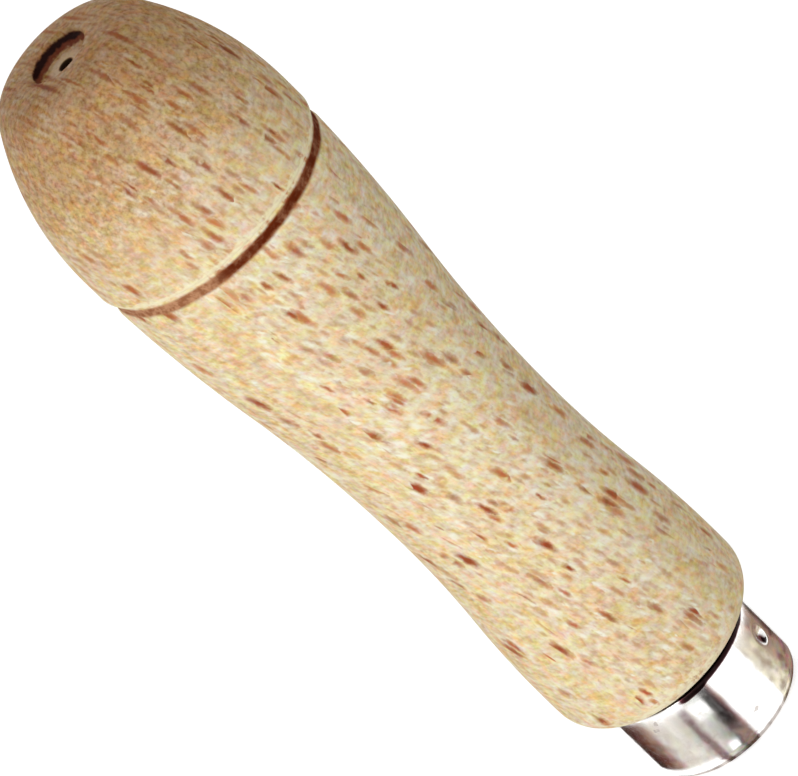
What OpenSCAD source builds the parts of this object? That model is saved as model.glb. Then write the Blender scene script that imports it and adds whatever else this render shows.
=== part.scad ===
// File handle: a turned beech grip with a drawn steel ferrule driven on to its spigot.
// The axis is Z. The ferrule's front face lies on z = 0 and the domed butt points up.

/* [Overall] */
// Length from the ferrule's front face to the crown of the butt
total_h = 120; // [112:0.5:135]

/* [Grip] */
// Height of the shoulder that the ferrule is driven up to
shoulder_z = 12.4; // [11.8:0.1:14]
// Radius that rounds the shoulder's edge
shoulder_round = 4.1; // [3:0.1:4.3]
// Height of the bulb's widest level above the shoulder
bulb_rise = 5.6; // [5.2:0.1:7.5]
// Greatest diameter of the bulb
bulb_d = 27.7; // [27.2:0.1:30]
// Height of the waist
waist_z = 47; // [44:0.5:52]
// Diameter of the waist
waist_d = 24.7; // [22.6:0.1:26]
// Radius of the hollow on the bulb's side of the waist
waist_front_r = 142; // [90:1:160]
// Radius of the hollow on the butt's side of the waist
waist_back_r = 200; // [140:1:240]
// Height over the groove at which the palm swell would be widest
swell_rise = 6.2; // [5:0.1:12]
// Diameter that the palm swell would reach there
swell_d = 31.2; // [29.5:0.1:31.6]

/* [Groove] */
// Width of the groove along the axis
groove_w = 2.7; // [2:0.1:4]
// Height of its steep upper side, under the dome's edge
groove_steep = 1.4; // [0.8:0.1:1.8]
// Depth of the groove at its bottom, under the palm swell's line
groove_depth = 0.3; // [0.1:0.05:0.8]

/* [Domed butt] */
// Greatest diameter of the dome
dome_d = 31.7; // [31.4:0.1:34]
// Height of the straight land between the groove and the dome
dome_land = 3.1; // [1.5:0.1:5]
// Height of the crown over that land
dome_rise = 21.9; // [20:0.1:24.5]
// Radius of the dome's side, seen in section
dome_side_r = 37.8; // [34:0.1:60]
// Width of the flat crown round the recess's mouth
crown_w = 1.5; // [0.2:0.05:2]
// Radius that breaks the dome's lower edge, over the groove
lip_round = 0.4; // [0.1:0.05:0.6]

/* [Lathe marks in the butt] */
// Diameter of the recess that the lathe's cup left, at its rim
recess_d = 7.6; // [7.2:0.1:8.6]
// Diameter of its floor
recess_floor_d = 6.2; // [5:0.1:7]
// Radius that rounds its mouth over, from the crown to the rim
mouth_round = 0.6; // [0.2:0.05:0.8]
// Depth of the floor below the crown
recess_depth = 1.65; // [1:0.05:2]
// Diameter of the hole that the lathe's point left
centre_d = 1.7; // [1:0.1:3]
// Depth of that hole below the recess, to the start of its tip
centre_depth = 2.5; // [1.5:0.1:8]
// Angle of the hole's pointed end
centre_point = 60; // [50:1:90]

/* [Ferrule] */
// Outer diameter of the ferrule
ferrule_d = 20.7; // [20.4:0.1:21.2]
// Thickness of its sheet steel
sheet = 0.9; // [0.65:0.05:1.2]
// Radius of its front edge, outside
front_round = 1.85; // [1.4:0.05:2.4]
// Radius of its back edge, outside
back_round = 0.25; // [0.1:0.05:0.4]
// Diameter of the opening that the lip leaves at the front
opening_d = 12; // [9:0.1:14]
// Gap between the ferrule's back edge and the wood's shoulder
shoulder_gap = 0.6; // [0.05:0.05:0.8]

/* [Punch marks] */
// How many marks lock the ferrule to the wood, evenly round it
punch_count = 2; // [1:1:4]
// Direction of the first mark, in degrees from +X
punch_angle = -31; // [-180:1:180]
// Height of the marks
punch_z = 7.5; // [5:0.1:8.5]
// Radius of the punch's round nose
punch_nose = 1.8; // [1:0.1:2]
// Depth of a mark in the steel
punch_depth = 0.55; // [0.2:0.05:0.6]

/* [Spigot and tang hole] */
// Gap round the spigot inside the ferrule; at 0 the two are pressed together, size for size
spigot_gap = 0; // [0:0.05:0.2]
// How far the spigot's chamfer passes the ferrule's inner rounding
chamfer_clear = 0.15; // [0.05:0.05:0.5]
// Diameter of the tang hole at its mouth
tang_mouth_d = 7; // [5:0.1:8.6]
// Depth of that first bore, from the wood's front
tang_mouth_depth = 24; // [15:0.5:32]
// Diameter of the second bore, for the tang's narrow end
tang_end_d = 4.5; // [3:0.1:5]
// Depth of the second bore, from the wood's front
tang_end_depth = 56; // [40:0.5:75]
// Angle of the drill's point
drill_point = 118; // [90:1:140]

/* [Hidden] */
$fn = 128;
beech = "#d8a878";
steel = "#c3c5c7";
// How far cuts run past the faces that they open
over = 1;

ferrule_r = ferrule_d / 2;
ferrule_len = shoulder_z - shoulder_gap;
inner_round = front_round - sheet;
spigot_r = ferrule_r - sheet - spigot_gap;
spigot_chamfer = inner_round + chamfer_clear;
// The wood's front end bears on the inside of the ferrule's lip
wood_front = sheet;

dome_r = dome_d / 2;
dome_z = total_h - dome_rise;
dome_base = dome_z - dome_land;
groove_bottom_z = dome_base - groove_steep;
groove_z = dome_base - groove_w;
swell_r = swell_d / 2;
waist_r = waist_d / 2;
bulb_r = bulb_d / 2;

// Radii that are worked out are kept to a hundredth, and heights to a ten-thousandth, so that arcs
// and slices of the section meet without a step
function hundredth(v) = round(v * 100) / 100;
function ten_thousandth(v) = round(v * 10000) / 10000;
// Sum of the radii of a round and a hollow that meet smoothly, with dz and dr between their apexes
function arc_sum(dz, dr) = (dz * dz + dr * dr) / (2 * dr);
// Height between the apexes of two such arcs, from the sum of their radii
function arc_reach(sum, dr) = sqrt(2 * sum * dr - dr * dr);

bulb_step = bulb_r - waist_r;
bulb_arc = hundredth(arc_sum(waist_z - shoulder_z - bulb_rise, bulb_step) - waist_front_r);
bulb_sum = bulb_arc + waist_front_r;
bulb_z = waist_z - arc_reach(bulb_sum, bulb_step);
// Height at which the bulb's round hands over to the hollow
bulb_meet = ten_thousandth(waist_z - waist_front_r * (waist_z - bulb_z) / bulb_sum);

swell_step = swell_r - waist_r;
swell_arc = hundredth(arc_sum(groove_z + swell_rise - waist_z, swell_step) - waist_back_r);
swell_sum = swell_arc + waist_back_r;
swell_z = waist_z + arc_reach(swell_sum, swell_step);
// Height at which the hollow hands over to the palm swell
swell_meet = ten_thousandth(waist_z + waist_back_r * (swell_z - waist_z) / swell_sum);
// Radius of the palm swell at a height
function swell_at(z) = swell_r - swell_arc + sqrt(pow(swell_arc, 2) - pow(swell_z - z, 2));
groove_bottom_r = hundredth(swell_at(groove_bottom_z) - groove_depth);
// How far the groove's lower side leans out for each millimetre down
groove_lean = (swell_at(groove_z) - groove_bottom_r) / (groove_bottom_z - groove_z);

// The shoulder's rounding lies against the bulb's round from inside
shoulder_mid_z = shoulder_z + shoulder_round;
shoulder_mid_r = bulb_r - bulb_arc
    + sqrt(pow(bulb_arc - shoulder_round, 2) - pow(bulb_z - shoulder_mid_z, 2));
shoulder_meet = ten_thousandth(shoulder_mid_z
    - shoulder_round * (bulb_z - shoulder_mid_z) / (bulb_arc - shoulder_round));

// The dome's corner lies against its side from inside, and ends level at the crown
dome_side_mid = dome_r - dome_side_r;
crown_out = recess_d / 2 + mouth_round + crown_w - dome_side_mid;
dome_corner_r = hundredth((pow(dome_side_r, 2) - pow(dome_rise, 2) - pow(crown_out, 2))
    / (2 * (dome_side_r - dome_rise)));
dome_corner_z = total_h - dome_corner_r;
crown_r = dome_side_mid
    + sqrt(pow(dome_side_r - dome_corner_r, 2) - pow(dome_corner_z - dome_z, 2));
dome_meet = ten_thousandth(dome_z
    + dome_side_r * (dome_corner_z - dome_z) / (dome_side_r - dome_corner_r));

// The punch's nose is a ball that stops this far from the axis
punch_r = ferrule_r + punch_nose - punch_depth;

// Moves a section in two steps, by whole millimetres and by the rest, so that no digit is lost
module place(r, z) {
    translate([floor(r), floor(z)]) translate([r - floor(r), z - floor(z)]) children();
}

// Half section of a slice between two heights, w wide from the axis
module slice(w, low, high) {
    place(0, low) square([w, high - low]);
}

// Half section of a swelling between two heights, cut from one circle
module swelling(mid_r, mid_z, arc_r, low, high) {
    intersection() {
        place(mid_r, mid_z) circle(r = arc_r, $fn = 360);
        slice(dome_d, low, high);
    }
}

// Half section of the waist between two heights, hollowed by one circle
module hollow(arc_r, low, high) {
    difference() {
        slice(dome_d, low, high);
        place(waist_r + arc_r, waist_z) circle(r = arc_r, $fn = 360);
    }
}

// What a rounding takes off a square corner that points to +X and -Z
module corner_waste(round) {
    difference() {
        translate([-round, -over]) square([round + over, round + over]);
        translate([-round, round]) circle(r = round);
    }
}

// Half section of the grip, from the shoulder to the bottom of the groove
module grip_section() {
    slice(shoulder_mid_r, shoulder_z, shoulder_meet);
    swelling(shoulder_mid_r, shoulder_mid_z, shoulder_round, shoulder_z, shoulder_meet);
    swelling(bulb_r - bulb_arc, bulb_z, bulb_arc, shoulder_meet, bulb_meet);
    hollow(waist_front_r, bulb_meet, waist_z);
    hollow(waist_back_r, waist_z, swell_meet);
    difference() {
        swelling(swell_r - swell_arc, swell_z, swell_arc, swell_meet, groove_bottom_z);
        groove_waste();
    }
}

// What the groove's leaning lower side takes off the palm swell
module groove_waste() {
    out = dome_r - groove_bottom_r;
    polygon([
        [groove_bottom_r, groove_bottom_z],
        [dome_r, groove_bottom_z - out / groove_lean],
        [dome_r, groove_bottom_z + over],
        [groove_bottom_r, groove_bottom_z + over],
    ]);
}

// Half section of the groove's steep upper side, which runs up to the dome's edge
module groove_section() {
    polygon([
        [0, groove_bottom_z],
        [groove_bottom_r, groove_bottom_z],
        [dome_r - lip_round, dome_base],
        [0, dome_base],
    ]);
}

// Half section of the domed butt, with its lower edge rounded
module dome_section() {
    difference() {
        slice(dome_r, dome_base, dome_z);
        translate([dome_r, dome_base]) corner_waste(lip_round);
    }
    swelling(dome_side_mid, dome_z, dome_side_r, dome_z, dome_meet);
    swelling(crown_r, dome_corner_z, dome_corner_r, dome_meet, total_h);
    slice(crown_r, dome_meet, total_h);
}

// Half section of the spigot, up to the shoulder
module spigot_section() {
    polygon([
        [0, wood_front],
        [spigot_r - spigot_chamfer, wood_front],
        [spigot_r, wood_front + spigot_chamfer],
        [spigot_r, shoulder_z],
        [0, shoulder_z],
    ]);
}

// A blind drilled bore that runs up from the wood's front and ends in a cone
module tang_bore(d, depth) {
    translate([0, 0, wood_front - over]) cylinder(d = d, h = depth + over);
    translate([0, 0, wood_front + depth]) cylinder(d1 = d, d2 = 0, h = d / 2 / tan(drill_point / 2));
}

// Half section of the recess in the butt, with a tapered wall and a mouth that is rounded over
module recess_section() {
    rim_z = total_h - mouth_round;
    floor_z = total_h - recess_depth;
    polygon([
        [0, floor_z],
        [recess_floor_d / 2, floor_z],
        [recess_d / 2, rim_z],
        [0, rim_z],
    ]);
    difference() {
        translate([0, rim_z]) square([recess_d / 2 + mouth_round, mouth_round + over]);
        translate([recess_d / 2 + mouth_round, rim_z]) circle(r = mouth_round);
    }
}

// Half section of the pointed hole that the lathe left in the recess's floor
module centre_section() {
    floor_z = total_h - recess_depth;
    tip_z = floor_z - centre_depth - centre_d / 2 / tan(centre_point / 2);
    polygon([
        [0, tip_z],
        [centre_d / 2, floor_z - centre_depth],
        [centre_d / 2, floor_z + mouth_round / 2],
        [0, floor_z + mouth_round / 2],
    ]);
}

// A ball at each punch mark: the punch's own nose, or that nose with the steel that it pushed in
module punch_balls(r) {
    for (i = [0 : punch_count - 1])
        rotate(punch_angle + i * 360 / punch_count)
            translate([punch_r, 0, punch_z]) sphere(r = r);
}

// Half section of a solid cup with a rounded front edge
module cup_section(r, front, back, round) {
    translate([0, front + round]) square([r, back - front - round]);
    translate([0, front]) square([r - round, round]);
    translate([r - round, front + round]) circle(r = round);
}

// Half section of the drawn shell, open at the back and pierced at the front
module shell_section() {
    difference() {
        cup_section(ferrule_r, 0, ferrule_len, front_round);
        cup_section(ferrule_r - sheet, sheet, ferrule_len + over, inner_round);
        translate([0, -over]) square([opening_d / 2, sheet + 2 * over]);
        translate([ferrule_r, ferrule_len]) mirror([0, 1]) corner_waste(back_round);
    }
}

// The turned grip, one piece of beech from the spigot to the butt
module handle() {
    color(beech)
        difference() {
            rotate_extrude() difference() {
                union() {
                    spigot_section();
                    grip_section();
                    groove_section();
                    dome_section();
                }
                recess_section();
                centre_section();
            }
            tang_bore(tang_mouth_d, tang_mouth_depth);
            tang_bore(tang_end_d, tang_end_depth);
            punch_balls(punch_nose + sheet);
        }
}

// The drawn steel shell, with the punch marks that bite into the spigot
module ferrule() {
    color(steel)
        difference() {
            union() {
                rotate_extrude() shell_section();
                intersection() {
                    punch_balls(punch_nose + sheet);
                    cylinder(r = ferrule_r - sheet / 2, h = ferrule_len);
                }
            }
            punch_balls(punch_nose);
        }
}

handle();
ferrule();
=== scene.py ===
"""A turned beech file handle with a drawn steel ferrule, standing on its ferrule in a pale studio."""
import math

import bpy
from mathutils import Matrix, Vector


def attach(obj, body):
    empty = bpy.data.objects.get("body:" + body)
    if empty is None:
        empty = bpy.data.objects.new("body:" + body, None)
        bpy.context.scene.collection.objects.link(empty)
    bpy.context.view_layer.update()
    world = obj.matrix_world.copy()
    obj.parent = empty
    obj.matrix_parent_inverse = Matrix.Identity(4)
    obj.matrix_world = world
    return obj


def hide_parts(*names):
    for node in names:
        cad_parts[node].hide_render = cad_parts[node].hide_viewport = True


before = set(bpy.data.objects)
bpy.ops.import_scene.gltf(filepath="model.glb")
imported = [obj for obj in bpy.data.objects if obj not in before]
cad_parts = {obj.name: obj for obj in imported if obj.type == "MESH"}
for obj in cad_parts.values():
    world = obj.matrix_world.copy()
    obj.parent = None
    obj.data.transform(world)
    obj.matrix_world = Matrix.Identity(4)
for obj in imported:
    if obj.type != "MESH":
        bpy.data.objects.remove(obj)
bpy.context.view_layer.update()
bpy.context.scene.view_settings.view_transform = "Standard"

MM = 0.001
ROOT = "root"

# Sizes of the turned grip in millimetres, the same as the part's own
LENGTH = 120.0
SHOULDER_Z = 12.4
SHOULDER_ROUND = 4.1
BULB_RISE = 5.6
BULB_R = 13.85
WAIST_Z = 47.0
WAIST_R = 12.35
WAIST_FRONT_R = 142.0
WAIST_BACK_R = 200.0
SWELL_RISE = 6.2
SWELL_R = 15.6
GROOVE_W = 2.7
GROOVE_STEEP = 1.4
GROOVE_DEPTH = 0.3
DOME_R = 15.85
DOME_LAND = 3.1
DOME_RISE = 21.9
DOME_SIDE_R = 37.8
CROWN_W = 1.5
LIP_ROUND = 0.4
RECESS_R = 3.8
RECESS_FLOOR_R = 3.1
MOUTH_ROUND = 0.6
RECESS_DEPTH = 1.65
CENTRE_R = 0.85
CENTRE_DEPTH = 2.5
CENTRE_POINT = 60.0

# The spigot and the tang hole, up from the wood's front end
TANG_MOUTH_R = 3.5
TANG_MOUTH_DEPTH = 24.0
TANG_END_R = 2.25
TANG_END_DEPTH = 56.0
DRILL_POINT = 118.0
CHAMFER_CLEAR = 0.15

# The ferrule and its punch marks
FERRULE_R = 10.35
SHEET = 0.9
FRONT_ROUND = 1.85
BACK_ROUND = 0.25
OPENING_R = 6.0
SHOULDER_GAP = 0.6
PUNCH_COUNT = 2
PUNCH_ANGLE = -31.0
PUNCH_Z = 7.5
PUNCH_NOSE = 1.8
PUNCH_DEPTH = 0.55

# Edges that use has softened a little beyond the part's own, as radii in millimetres
CENTRE_SOFT = 0.15
FLOOR_SOFT = 0.2
OPENING_SOFT = 0.12
MARK_SOFT = 0.12

# Where the wood's finish and its painted light change, as spans of height, and the place of a painted shade
# spot in the first punch mark
GROOVE_BURN = (93.3, 94.2)
GROOVE_CORE = (93.5, 94.0)
LIP_HIGHLIGHT = (95.0, 95.4)
SHOULDER_GLOW = (12.8, 14.4)
END_DOTS = (98.0, 110.0)
BROWN_FROM = 94.0
PUNCH_SHADE_PLACE = (8.75, -5.25, 6.95)

# The camera of the photograph: where it looks from, and how its frame lies to the handle's axis
CAMERA_ELEVATION = 27.7
CAMERA_ROLL = 44.26
CAMERA_DISTANCE = 875.0
CAMERA_AIM_Z = 55.2
CAMERA_LENS = 348.3
CAMERA_ASIDE = -3.55
CAMERA_UP = 3.58

# About how steeply that camera looks down on the ferrule, in degrees
FERRULE_LOOK = 30.7

# Light: the world's soft light and the white that is seen, the table's grey and its glow
SOFT_LIGHT = 0.56
SEEN_WHITE = 1.0
TABLE_GREY = 0.8
TABLE_GLOW = 0.66
WHITE = (1.0, 1.0, 1.0)


def add_object(name, data):
    """An object for this mesh, light or camera, placed in the scene."""
    thing = bpy.data.objects.new(name, data)
    bpy.context.scene.collection.objects.link(thing)
    return thing


# Camera

def make_camera():
    """Looks down on the standing handle, rolled so that the axis runs across the picture's diagonal."""
    elevation = math.radians(CAMERA_ELEVATION)
    roll = math.radians(CAMERA_ROLL)
    back = Vector((0.0, -math.cos(elevation), math.sin(elevation)))
    along = Vector((0.0, math.sin(elevation), math.cos(elevation)))
    across = Vector((1.0, 0.0, 0.0))
    right = -math.cos(roll) * along + math.sin(roll) * across
    up = math.sin(roll) * along + math.cos(roll) * across
    aim = Vector((0.0, 0.0, CAMERA_AIM_Z * MM))
    place = aim + (back * CAMERA_DISTANCE + right * CAMERA_ASIDE + up * CAMERA_UP) * MM
    data = bpy.data.cameras.new("camera")
    data.lens = CAMERA_LENS
    data.sensor_width = 36.0
    data.clip_start = 0.05
    data.clip_end = 20.0
    camera = add_object("camera", data)
    turn = Matrix((right, up, back)).transposed()
    camera.matrix_world = Matrix.Translation(place) @ turn.to_4x4()
    bpy.context.scene.camera = camera


make_camera()


# Half sections, as lists of (radius, height) in millimetres

def arc(mid_r, mid_z, radius, start, end, count):
    """Points on a circle, from one angle to another in degrees, measured from +r towards +z."""
    out = []
    for i in range(count + 1):
        a = math.radians(start + (end - start) * i / count)
        out.append((mid_r + radius * math.cos(a), mid_z + radius * math.sin(a)))
    return out


def line(start, end, count):
    """Points from start to end, both kept."""
    return [(start[0] + (end[0] - start[0]) * i / count, start[1] + (end[1] - start[1]) * i / count)
            for i in range(count + 1)]


def curve(radius_at, start, end, count):
    """Points on a turned curve from one height to another, without the first."""
    heights = [start + (end - start) * i / count for i in range(1, count + 1)]
    return [(radius_at(z), z) for z in heights]


def rounded(apex_r, apex_z, arc_r):
    """The radius, by height, of a round whose widest place is given."""
    return lambda z: apex_r - arc_r + math.sqrt(arc_r ** 2 - (apex_z - z) ** 2)


def hollow(arc_r):
    """The radius, by height, of a hollow that is narrowest at the waist."""
    return lambda z: WAIST_R + arc_r - math.sqrt(arc_r ** 2 - (z - WAIST_Z) ** 2)


def angle_at(mid_z, radius, z):
    """Angle at which a circle round mid_z reaches a height, on its outer side."""
    return math.degrees(math.asin(max(-1.0, min(1.0, (z - mid_z) / radius))))


def arc_sum(dz, dr):
    """Sum of the radii of a round and a hollow that meet smoothly, with dz and dr between their apexes."""
    return (dz * dz + dr * dr) / (2 * dr)


def grip_curves():
    """The arcs of the grip, worked out as in the part's source."""
    groove_z = LENGTH - DOME_RISE - DOME_LAND - GROOVE_W
    bulb_arc = round(arc_sum(WAIST_Z - SHOULDER_Z - BULB_RISE, BULB_R - WAIST_R) - WAIST_FRONT_R, 2)
    bulb_sum = bulb_arc + WAIST_FRONT_R
    bulb_z = WAIST_Z - math.sqrt(2 * bulb_sum * (BULB_R - WAIST_R) - (BULB_R - WAIST_R) ** 2)
    bulb_meet = WAIST_Z - WAIST_FRONT_R * (WAIST_Z - bulb_z) / bulb_sum
    swell_arc = round(arc_sum(groove_z + SWELL_RISE - WAIST_Z, SWELL_R - WAIST_R) - WAIST_BACK_R, 2)
    swell_sum = swell_arc + WAIST_BACK_R
    swell_z = WAIST_Z + math.sqrt(2 * swell_sum * (SWELL_R - WAIST_R) - (SWELL_R - WAIST_R) ** 2)
    swell_meet = WAIST_Z + WAIST_BACK_R * (swell_z - WAIST_Z) / swell_sum
    mid_z = SHOULDER_Z + SHOULDER_ROUND
    mid_r = BULB_R - bulb_arc + math.sqrt((bulb_arc - SHOULDER_ROUND) ** 2 - (bulb_z - mid_z) ** 2)
    shoulder_meet = mid_z - SHOULDER_ROUND * (bulb_z - mid_z) / (bulb_arc - SHOULDER_ROUND)
    return groove_z, bulb_arc, bulb_z, bulb_meet, swell_arc, swell_z, swell_meet, mid_r, mid_z, shoulder_meet


def dome_curves():
    """The dome's side and corner, worked out as in the part's source."""
    dome_z = LENGTH - DOME_RISE
    side_mid = DOME_R - DOME_SIDE_R
    crown_out = RECESS_R + MOUTH_ROUND + CROWN_W - side_mid
    corner = round((DOME_SIDE_R ** 2 - DOME_RISE ** 2 - crown_out ** 2) / (2 * (DOME_SIDE_R - DOME_RISE)), 2)
    corner_z = LENGTH - corner
    crown_r = side_mid + math.sqrt((DOME_SIDE_R - corner) ** 2 - (corner_z - dome_z) ** 2)
    meet = dome_z + DOME_SIDE_R * (corner_z - dome_z) / (DOME_SIDE_R - corner)
    return dome_z, side_mid, corner, corner_z, crown_r, meet


def butt_section():
    """From the tip of the centre hole out over the recess, the crown and the dome, down to its lower edge."""
    dome_z, side_mid, corner, corner_z, crown_r, meet = dome_curves()
    floor_z = LENGTH - RECESS_DEPTH
    rim_z = LENGTH - MOUTH_ROUND
    hole_z = floor_z - CENTRE_DEPTH
    tip = hole_z - CENTRE_R / math.tan(math.radians(CENTRE_POINT / 2))
    out = line((0.0, tip), (CENTRE_R, hole_z), 3)
    out += line((CENTRE_R, hole_z), (CENTRE_R, floor_z - CENTRE_SOFT), 5)[1:]
    out += arc(CENTRE_R + CENTRE_SOFT, floor_z - CENTRE_SOFT, CENTRE_SOFT, 180, 90, 4)[1:]
    out += line((CENTRE_R + CENTRE_SOFT, floor_z), (RECESS_FLOOR_R - FLOOR_SOFT, floor_z), 8)[1:]
    out += arc(RECESS_FLOOR_R - FLOOR_SOFT, floor_z + FLOOR_SOFT, FLOOR_SOFT, -90, -38, 4)[1:]
    out += line(out[-1], (RECESS_R, rim_z), 5)[1:]
    out += arc(RECESS_R + MOUTH_ROUND, rim_z, MOUTH_ROUND, 180, 90, 8)[1:]
    out += line((RECESS_R + MOUTH_ROUND, LENGTH), (crown_r, LENGTH), 6)[1:]
    turn = angle_at(corner_z, corner, meet)
    out += arc(crown_r, corner_z, corner, 90, turn, 22)[1:]
    out += arc(side_mid, dome_z, DOME_SIDE_R, turn, 0, 40)[1:]
    base = dome_z - DOME_LAND
    out += line((DOME_R, dome_z), (DOME_R, base + LIP_ROUND), 7)[1:]
    out += arc(DOME_R - LIP_ROUND, base + LIP_ROUND, LIP_ROUND, 0, -72, 7)[1:]
    return out


def grip_section():
    """Down from the groove's steep side over the swell, waist, bulb and shoulder."""
    (groove_z, bulb_arc, bulb_z, bulb_meet, swell_arc, swell_z, swell_meet,
     mid_r, mid_z, shoulder_meet) = grip_curves()
    bottom_z = groove_z + GROOVE_W - GROOVE_STEEP
    swell_at = rounded(SWELL_R, swell_z, swell_arc)
    bottom_r = round(swell_at(bottom_z) - GROOVE_DEPTH, 2)
    out = line((DOME_R - LIP_ROUND, bottom_z + GROOVE_STEEP - 0.02), (bottom_r + 0.03, bottom_z + 0.1), 7)
    out += line((bottom_r, bottom_z), (swell_at(groove_z), groove_z), 7)
    out += curve(swell_at, groove_z, swell_meet, 44)
    out += curve(hollow(WAIST_BACK_R), swell_meet, WAIST_Z, 40)
    out += curve(hollow(WAIST_FRONT_R), WAIST_Z, bulb_meet, 26)
    out += curve(rounded(BULB_R, bulb_z, bulb_arc), bulb_meet, shoulder_meet, 28)
    out += arc(mid_r, mid_z, SHOULDER_ROUND, angle_at(mid_z, SHOULDER_ROUND, shoulder_meet), -90, 20)[1:]
    return out


def spigot_section():
    """From the shoulder down the spigot, round its chamfer and up the drilled hole to the axis."""
    spigot_r = FERRULE_R - SHEET
    chamfer = FRONT_ROUND - SHEET + CHAMFER_CLEAR
    slope = math.tan(math.radians(DRILL_POINT / 2))
    out = line((spigot_r, SHOULDER_Z), (spigot_r, SHEET + chamfer), 24)
    out += line((spigot_r, SHEET + chamfer), (spigot_r - chamfer, SHEET), 2)[1:]
    out += line((spigot_r - chamfer, SHEET), (TANG_MOUTH_R, SHEET), 3)[1:]
    out += line((TANG_MOUTH_R, SHEET), (TANG_MOUTH_R, SHEET + TANG_MOUTH_DEPTH), 8)[1:]
    out += [(TANG_END_R, SHEET + TANG_MOUTH_DEPTH + (TANG_MOUTH_R - TANG_END_R) / slope)]
    out += line(out[-1], (TANG_END_R, SHEET + TANG_END_DEPTH), 8)[1:]
    out += [(0.0, SHEET + TANG_END_DEPTH + TANG_END_R / slope)]
    return out


def shell_section():
    """The drawn shell all the way round: outer skin, front lip, inner skin and back edge."""
    length = SHOULDER_Z - SHOULDER_GAP
    inner = FERRULE_R - SHEET
    inner_round = FRONT_ROUND - SHEET
    lip_r = OPENING_R + OPENING_SOFT
    out = arc(FERRULE_R - BACK_ROUND, length - BACK_ROUND, BACK_ROUND, 90, 0, 6)
    out += line(out[-1], (FERRULE_R, FRONT_ROUND), 52)[1:]
    out += arc(FERRULE_R - FRONT_ROUND, FRONT_ROUND, FRONT_ROUND, 0, -90, 18)[1:]
    out += line(out[-1], (lip_r, 0.0), 4)[1:]
    out += arc(lip_r, OPENING_SOFT, OPENING_SOFT, -90, -180, 3)[1:]
    out += line(out[-1], (OPENING_R, SHEET - OPENING_SOFT), 2)[1:]
    out += arc(lip_r, SHEET - OPENING_SOFT, OPENING_SOFT, 180, 90, 3)[1:]
    out += line(out[-1], (inner - inner_round, SHEET), 3)[1:]
    out += arc(inner - inner_round, SHEET + inner_round, inner_round, -90, 0, 7)[1:]
    out += line(out[-1], (inner, length), 40)[1:]
    out += [out[0]]
    return out


# Small helpers for node trees

class Tree:
    """Short calls for the nodes of one tree; every value is a number, a tuple or a socket."""

    def __init__(self, tree):
        self.tree = tree

    def link(self, value, socket):
        """Links a value to an input, or sets it there if it isn't a socket."""
        if isinstance(value, bpy.types.NodeSocket):
            self.tree.links.new(value, socket)
        else:
            socket.default_value = value

    def put(self, kind, values=None, **settings):
        """A node with its settings, and with values on its inputs, by name or number."""
        node = self.tree.nodes.new(kind)
        for name, value in settings.items():
            setattr(node, name, value)
        for key, value in (values or {}).items():
            self.link(value, node.inputs[key])
        return node

    def use(self, effect, values):
        """One of the shared effects, with values on its inputs by name; returns its outputs."""
        return self.put("ShaderNodeGroup", values, node_tree=effects[effect]).outputs

    def calc(self, operation, *values):
        return self.put("ShaderNodeMath", dict(enumerate(values)), operation=operation).outputs[0]

    def plus(self, one, two):
        return self.calc("ADD", one, two)

    def minus(self, one, two):
        return self.calc("SUBTRACT", one, two)

    def over(self, one, two):
        return self.calc("DIVIDE", one, two)

    def times(self, product, *others):
        for other in others:
            product = self.calc("MULTIPLY", product, other)
        return product

    def most(self, largest, *others):
        """The largest of several values."""
        for other in others:
            largest = self.calc("MAXIMUM", largest, other)
        return largest

    def swing(self, value, amount):
        """How far a noise is from its middle, times an amount."""
        return self.times(self.minus(value, 0.5), amount)

    def radius(self, x, y):
        """Distance from the axis."""
        return self.calc("SQRT", self.plus(self.times(x, x), self.times(y, y)))

    def vector(self, operation, *values):
        node = self.put("ShaderNodeVectorMath", dict(enumerate(values)), operation=operation)
        return node.outputs["Value" if operation in {"LENGTH", "DISTANCE"} else "Vector"]

    def scaled(self, vector, factor):
        return self.put("ShaderNodeVectorMath", {0: vector, "Scale": factor}, operation="SCALE").outputs[0]

    def parts(self, vector):
        return self.put("ShaderNodeSeparateXYZ", {0: vector}).outputs[:3]

    def joined(self, x, y, z):
        return self.put("ShaderNodeCombineXYZ", {0: x, 1: y, 2: z}).outputs[0]

    def spread(self, value, low, high, to_low=0.0, to_high=1.0, smooth=True):
        """Maps a value from one span to another and holds it there."""
        return self.put("ShaderNodeMapRange", {
            "Value": value, "From Min": low, "From Max": high, "To Min": to_low, "To Max": to_high},
            interpolation_type="SMOOTHSTEP" if smooth else "LINEAR", clamp=True).outputs[0]

    def window(self, value, none, full, still_full, none_again):
        """Rises from 0 to 1 over the first span and falls back to 0 over the second."""
        return self.times(self.spread(value, none, full), self.spread(value, none_again, still_full))

    def noise(self, vector, scale, detail=2.0, rough=0.5, output="Fac"):
        return self.put("ShaderNodeTexNoise", {
            "Vector": vector, "Scale": scale, "Detail": detail, "Roughness": rough}).outputs[output]

    def blend(self, factor, one, two, kind="MIX"):
        """Two colours mixed by a factor, in one of the ways that Blender mixes."""
        node = self.put("ShaderNodeMix", data_type="RGBA", blend_type=kind, clamp_factor=True)
        for slot, value in (("Factor_Float", factor), ("A_Color", one), ("B_Color", two)):
            socket = next(s for s in node.inputs if s.identifier == slot)
            self.link((*value, 1.0) if isinstance(value, tuple) else value, socket)
        return next(s for s in node.outputs if s.identifier == "Result_Color")

    def tinted(self, base, mask, amount, colour):
        """The base colour, with another laid over it where a mask says, up to an amount."""
        return self.blend(self.times(mask, amount), base, colour)

    def ramp(self, value, stops):
        """A colour ramp through (place, colour) stops."""
        node = self.put("ShaderNodeValToRGB", {"Fac": value})
        elements = node.color_ramp.elements
        while len(elements) < len(stops):
            elements.new(0.5)
        for element, (place, _) in zip(elements, stops):
            element.position = place
        for element, (_, colour) in zip(elements, stops):
            element.color = (*colour, 1.0)
        return node.outputs["Color"]


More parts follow.
